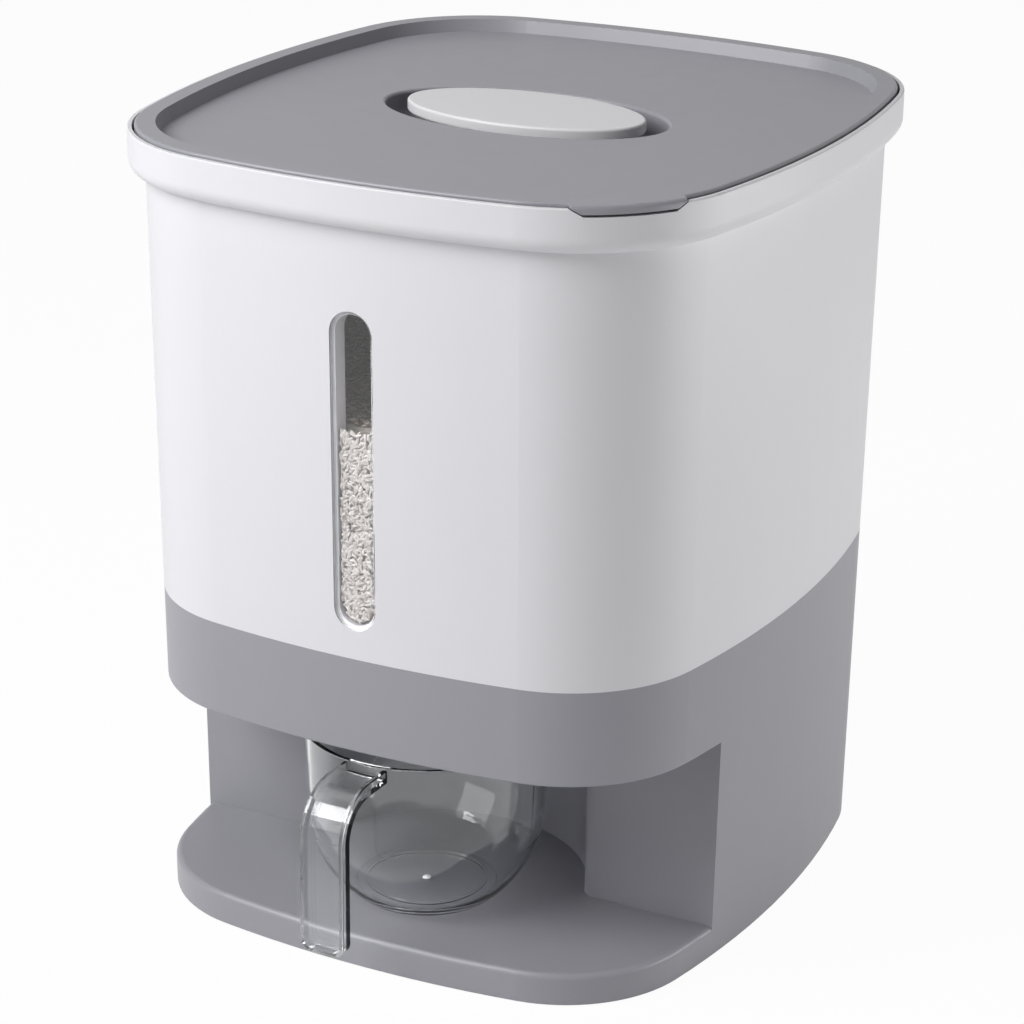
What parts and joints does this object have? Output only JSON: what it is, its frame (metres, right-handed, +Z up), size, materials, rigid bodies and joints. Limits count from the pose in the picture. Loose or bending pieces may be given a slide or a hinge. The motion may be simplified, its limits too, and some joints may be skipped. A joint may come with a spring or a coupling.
{
  "type": "rice dispenser",
  "caption": "Countertop rice dispenser: lidded bin with a level window on a recessed base, with a pull-out measuring cup that opens a sprung outlet gate when pushed.",
  "frame": {"origin": "on the plane of the four foot pads, under the middle of the bin's rim outline", "axes": "+X to the right seen from the front, -Y towards the window and cup, +Z up"},
  "size_m": [0.248, 0.2857, 0.3015],
  "materials": {
    "white_plastic": "fine satin moulding",
    "grey_plastic": "fine satin moulding",
    "grip_plastic": "satin",
    "liner_plastic": "satin, food-safe",
    "dark_plastic": "satin",
    "clear_plastic": "clear, polished",
    "silicone": "soft silicone",
    "foot_rubber": "matt rubber",
    "steel": "zinc-plated"
  },
  "bodies": {
    "body": {"base_stand": "grey_plastic", "bottom_cover": "dark_plastic", "foot_pad_front_left": "foot_rubber", "foot_pad_front_right": "foot_rubber", "foot_pad_rear_left": "foot_rubber", "foot_pad_rear_right": "foot_rubber", "bottom_cover_screws": "steel", "bin_shell": "white_plastic", "bin_screws": "steel", "window_lens": "clear_plastic", "window_gasket": "silicone", "hopper_funnel": "liner_plastic", "outlet_seal": "silicone", "gate_guide": "dark_plastic", "gate_cover": "dark_plastic", "gate_screws": "steel", "gate_pin_left": "steel", "gate_pin_right": "steel", "gate_spring_left": "steel", "gate_spring_right": "steel"},
    "gate": {"gate_plate": "dark_plastic"},
    "cup": {"measuring_cup": "clear_plastic"},
    "lid": {"lid_panel": "grey_plastic", "lid_seal": "silicone", "lid_grip": "grip_plastic", "lid_grip_screws": "steel"}
  },
  "joints": [
    {"name": "gate_press", "type": "slide", "parent": "body", "child": "gate", "axis": [0, 1, 0], "range_m": [0, 0.013], "stiffness_N_per_m": 150, "springref_m": -0.006, "deforming": ["gate_spring_left", "gate_spring_right"]},
    {"name": "cup_pull", "type": "slide", "parent": "gate", "child": "cup", "axis": [0, -1, 0], "range_m": [0, 0.13]},
    {"name": "lid_lift", "type": "slide", "parent": "body", "child": "lid", "axis": [0, 0, 1], "range_m": [0, 0.12]}
  ]
}
